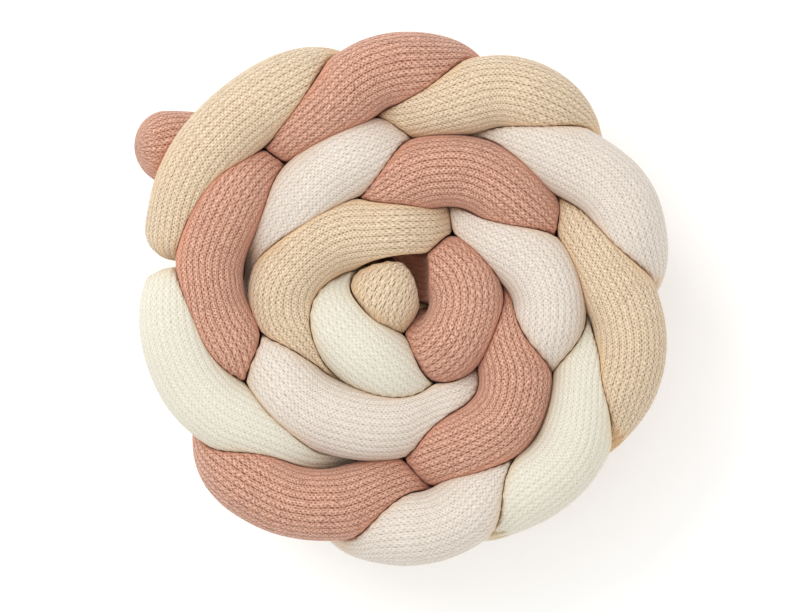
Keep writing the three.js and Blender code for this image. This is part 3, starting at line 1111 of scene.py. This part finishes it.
def linear(shade: tuple[int, int, int]) -> tuple[float, float, float, float]:
    """Turn a screen colour of 0 to 255 into the linear colour that a shader takes.

    This is the usual screen curve: a straight line near black, and a power above it.

    Args:
        shade: Red, green and blue.

    Returns:
        Linear red, green and blue, and a full alpha.
    """
    values = np.asarray(shade) / 255
    straight = np.where(values <= 0.04045, values / 12.92, ((values + 0.055) / 1.055) ** 2.4)
    return (*(float(v) for v in straight), 1.0)


@dataclass(frozen=True)
class Stitches:
    """What the four knits share: sizes in metres, and how strongly each thing shows."""

    stitch: float = 0.0033
    relief: float = 0.0005

    # Patches of noise to a metre, and how far they shift ribs and stitches
    wander_scale: float = 90.0
    speck_scale: float = 420.0
    fibre_scale: float = 1000.0
    dye_scale: float = 14.0
    rib_wander: float = 0.35
    row_wander: float = 0.9
    row_speck: float = 0.8

    # Rows of holes to a rib, how narrow and short a hole is, and how deep and uneven its painted
    # shade is
    groove_narrowness: float = 3.0
    hole_rows: int = 3
    hole_narrowness: float = 1.7
    hole_shortness: float = 1.5
    hole_depth: float = 0.8
    hole_unevenness: float = 4.5

    # Heights in the relief
    top_height: float = 0.35
    leg_height: float = 0.35
    hole_sink: float = 0.5
    fibre_height: float = 0.25
    bump_strength: float = 0.9

    # Shares in the light colour (painted highlight on rib tops and stitch legs, with lighter
    # fibres and specks), in the dark one (painted shade in grooves, with darker fibres), in the
    # dye's change and in the painted crease shade
    top_light: float = 0.2
    leg_light: float = 0.5
    fibre_light: float = 3.6
    speck_light: float = 1.2
    groove_shade: float = 0.14
    fibre_dark: float = 2.2
    dye_change: float = 0.28
    crease_shade_share: float = 0.62


@dataclass(frozen=True)
class RibbedKnit:
    """A matt ribbed cotton knit: ribs along the tube, each with two legs of slanting stitches.

    Rows of small holes, darkened with painted shade, run along each rib, a hole to a stitch,
    and those of neighbouring rows stand half a stitch apart. The banding says how much of a
    hole's strength goes with its nearness to the groove between two ribs. The rib tops and
    legs carry a painted highlight, and the grooves and the places pressed against a neighbour
    carry painted shade.
    """

    name: str
    face: tuple[int, int, int]
    # Colour of the painted highlight on rib tops and stitch legs, and of lighter fibres, specks
    # and dye
    highlight_and_tone: tuple[int, int, int]
    # Colour of the painted shade in holes and groove bottoms, and of darker fibres and dye
    hole: tuple[int, int, int]
    # Colour of the painted crease shade, a warm and slightly darker tint where the tube is
    # pressed
    crease_shade: tuple[int, int, int]
    hole_strength: float
    banding: float
    stitches: Stitches = Stitches()

    def material(self) -> bpy.types.Material:
        """Build the knit's material.

        Each noise runs around 0: the first shifts ribs and stitches, the specks make them
        uneven, the fibres are fine and the dye is wide. A leg is a wave along the rib that
        lags more the further it is from the rib's middle. A hole is a wave along the rib
        times one across it, each raised to a power.

        Returns:
            The material.
        """
        z = self.stitches
        g = Graph(self.name)
        place = g.node("ShaderNodeTexCoord", output="Object")
        wander, speck, fibre, dye = (
            g.node("ShaderNodeTexNoise", {"noise_dimensions": "3D"},
                   {"Vector": place, "Scale": scale, "Detail": 3.0, "Roughness": 0.6}) - 0.5
            for scale in (z.wander_scale, z.speck_scale, z.fibre_scale, z.dye_scale)
        )
        uv = g.node("ShaderNodeUVMap", {"uv_map": "knit"})
        around, ahead = (g.node("ShaderNodeSeparateXYZ", None, {0: uv}, axis) for axis in "XY")
        rib = around * WALES + wander * z.rib_wander
        row = ahead * (1 / z.stitch) + wander * z.row_wander + speck * z.row_speck
        groove = rib.wave()
        column = rib * z.hole_rows
        turn = ((column + 0.5).floor() % 2) * 0.5
        hole = (column.wave() ** z.hole_narrowness) * ((row + turn).wave() ** z.hole_shortness)
        turn = (rib.floor() % 2) * 0.5
        leg = (row + turn + abs((rib % 1) - 0.5)).wave()
        bottom = groove ** z.groove_narrowness
        top = (1 - bottom).clipped()
        relief = (top * z.top_height + leg * top * z.leg_height - hole * z.hole_sink
                  + fibre * z.fibre_height)
        # Painted highlight on the rib tops and stitch legs, plus lighter fibres and specks
        light = (leg * z.leg_light + z.top_light) * top
        light = light + fibre * z.fibre_light + speck * z.speck_light
        near_groove = groove * self.banding + (1 - self.banding)
        depth = (speck * z.hole_unevenness + z.hole_depth).clipped()
        # Painted shade in the holes and groove bottoms, plus darker fibres
        dark = (hole * near_groove * depth + bottom * (z.groove_shade * self.banding)
                + (0 - fibre).clipped() * z.fibre_dark)
        tint = dye * z.dye_change
        # Nearness to the neighbours, the mask of the painted crease shade
        close = g.node("ShaderNodeAttribute", {"attribute_name": "close"}, output="Fac")
        # The face colour takes the painted highlight, the painted shade of holes and grooves, the
        # dye's change either way, and the painted crease shade
        colour: Signal | tuple = linear(self.face)
        for share, shade in (
            (light, self.highlight_and_tone),
            (dark * self.hole_strength, self.hole),
            (tint, self.highlight_and_tone),
            (0 - tint, self.hole),
            # Painted crease shade where the tube is pressed against its neighbours
            (close * z.crease_shade_share, self.crease_shade),
        ):
            colour = g.blend(share.clipped(), colour, linear(shade))
        bump = g.node("ShaderNodeBump", None,
                      {"Strength": z.bump_strength, "Distance": z.relief, "Height": relief})
        g.finish({
            "Base Color": colour,
            "Roughness": 0.92,
            "Specular IOR Level": 0.22,
            "Sheen Weight": 0.18,
            "Sheen Roughness": 0.6,
            "Normal": bump,
        })
        return g.material


# Face, painted highlight and light tone, painted hole and groove shade and dark tone, painted
# crease shade, hole strength, banding
KNITS = {
    Tone.SAND: RibbedKnit("sand_ribbed_knit", (204, 182, 153), (229, 209, 181),
                          (128, 102, 74), (213, 172, 122), 1.55, 0.55),
    Tone.PINK: RibbedKnit("dusty_pink_ribbed_knit", (190, 141, 117), (224, 178, 155),
                          (112, 64, 45), (200, 126, 92), 2.15, 0.65),
    Tone.BLUSH: RibbedKnit("blush_ribbed_knit", (208, 197, 185), (223, 215, 205),
                           (150, 133, 116), (212, 178, 142), 0.95, 0.3),
    Tone.IVORY: RibbedKnit("ivory_ribbed_knit", (209, 204, 187), (221, 217, 203),
                           (166, 155, 134), (210, 186, 146), 0.75, 0.3),
}


@dataclass
class Coil:
    """The rolled plait: lays the four lines, presses them and makes the four tubes."""

    plait: Plait = field(default_factory=Plait)
    pressing: Pressing = field(default_factory=Pressing)
    sizes: TubeSizes = field(default_factory=TubeSizes)

    def lines(self) -> dict[Tone, TubeLine]:
        """Lay and press the middle lines.

        Returns:
            One settled line for each colour.
        """
        laid = {tone: self.plait.line(tone) for tone in Tone}
        holds = {tone: self.pressing.holds(self.plait, tone, laid[tone]) for tone in Tone}
        settled = self.pressing.settle(self.plait, laid, holds)
        return {
            tone: TubeLine(settled[tone], holds[tone][0], self.pressing.arch_hold,
                           self.sizes.sample_step)
            for tone in Tone
        }

    @staticmethod
    def shift(skins: dict[Tone, Skin]) -> np.ndarray:
        """Millimetres that bring the coil's box over the origin.

        Args:
            skins: The tubes' surfaces.

        Returns:
            The move in x and y, and none in z.
        """
        points = np.concatenate([skin.points.reshape(-1, 3) for skin in skins.values()])
        return (points.min(axis=0) + points.max(axis=0)) * [-0.5, -0.5, 0.0]

    def build(self) -> np.ndarray:
        """Make and dress the four tubes.

        Returns:
            The coil's move in millimetres, which the camera shares.
        """
        lines = self.lines()
        tubes = {tone: StuffedTube(tone, lines, self.sizes) for tone in Tone}
        skins = {tone: tube.skin() for tone, tube in tubes.items()}
        shift = self.shift(skins)
        for tone, tube in tubes.items():
            tube.dress(tube.build(skins[tone], shift), KNITS[tone])
        return shift


@dataclass(frozen=True)
class Lamp:
    """A square lamp: its place and the side of its face in metres, its power in watts."""

    name: str
    place: tuple[float, float, float]
    side: float
    power: float


@dataclass(frozen=True)
class Studio:
    """Plain pale floor, soft light from the upper left and the camera straight above."""

    pixel: float = 0.8
    frame_width: int = 800
    middle_x: float = -4.0
    middle_y: float = -6.4
    eye_height: float = 3.1
    sharp_height: float = 0.14
    aim_height: float = 0.08
    sensor: float = 36.0
    floor_side: float = 6.0
    floor_drop: float = 0.0002
    floor_shade: tuple[int, int, int] = (254, 254, 253)
    sky_strength: float = 1.0
    lamps: tuple[Lamp, ...] = (
        Lamp("window_light", (-1.3, 1.2, 2.0), 1.6, 32.0),
        Lamp("fill_light", (1.5, -1.2, 2.2), 2.2, 8.0),
    )

    def floor(self) -> None:
        """A square floor just under the coil."""
        half = self.floor_side / 2
        corners = [(x, y, -self.floor_drop) for x, y in
                   ((-half, -half), (half, -half), (half, half), (-half, half))]
        mesh = bpy.data.meshes.new("floor")
        mesh.from_pydata(corners, [], [range(4)])
        g = Graph("pale_floor")
        g.finish({
            "Base Color": linear(self.floor_shade),
            "Roughness": 0.9,
            "Specular IOR Level": 0.1,
        })
        mesh.materials.append(g.material)
        put("floor", mesh)

    def light(self, lamp: Lamp) -> None:
        """Put up a lamp that looks at the coil.

        Args:
            lamp: Its name, place, size and power.
        """
        face = bpy.data.lights.new(lamp.name, "AREA")
        face.shape = "SQUARE"
        face.size = lamp.side
        face.energy = lamp.power
        holder = put(lamp.name, face)
        holder.location = lamp.place
        aim = np.array([0.0, 0.0, self.aim_height]) - np.array(lamp.place)
        flat = math.hypot(aim[0], aim[1])
        holder.rotation_euler = (math.atan2(flat, -aim[2]), 0.0, math.atan2(-aim[0], aim[1]))

    def sky(self) -> None:
        """Even white light from all around."""
        world = bpy.data.worlds.new("even_light")
        world.use_nodes = True
        ground = world.node_tree.nodes["Background"]
        ground.inputs["Color"].default_value = (1.0, 1.0, 1.0, 1.0)
        ground.inputs["Strength"].default_value = self.sky_strength
        bpy.context.scene.world = world

    def camera(self, shift: np.ndarray) -> None:
        """A camera straight above, framed as the photo is.

        Args:
            shift: The coil's move in millimetres.
        """
        width = self.frame_width * self.pixel * METRES
        lens = bpy.data.cameras.new("camera")
        lens.sensor_fit = "HORIZONTAL"
        lens.sensor_width = self.sensor
        lens.lens = self.sensor * (self.eye_height - self.sharp_height) / width
        lens.clip_end = 50.0
        eye = put("camera", lens)
        eye.location = (
            (self.middle_x + float(shift[0])) * METRES,
            (self.middle_y + float(shift[1])) * METRES,
            self.eye_height,
        )
        bpy.context.scene.camera = eye

    def build(self, shift: np.ndarray) -> None:
        """Set up floor, lights and camera.

        Args:
            shift: The coil's move in millimetres.
        """
        self.floor()
        for lamp in self.lamps:
            self.light(lamp)
        self.sky()
        self.camera(shift)
        bpy.context.scene.view_settings.view_transform = "Standard"


def main() -> None:
    """Build the coil and the studio."""
    logging.basicConfig(level=logging.INFO, format="%(name)s: %(message)s")
    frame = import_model()
    LOG.info("frame: %d nodes", len(frame["nodes"]))
    shift = Coil().build()
    Studio().build(shift)


if __name__ == "__main__":
    main()
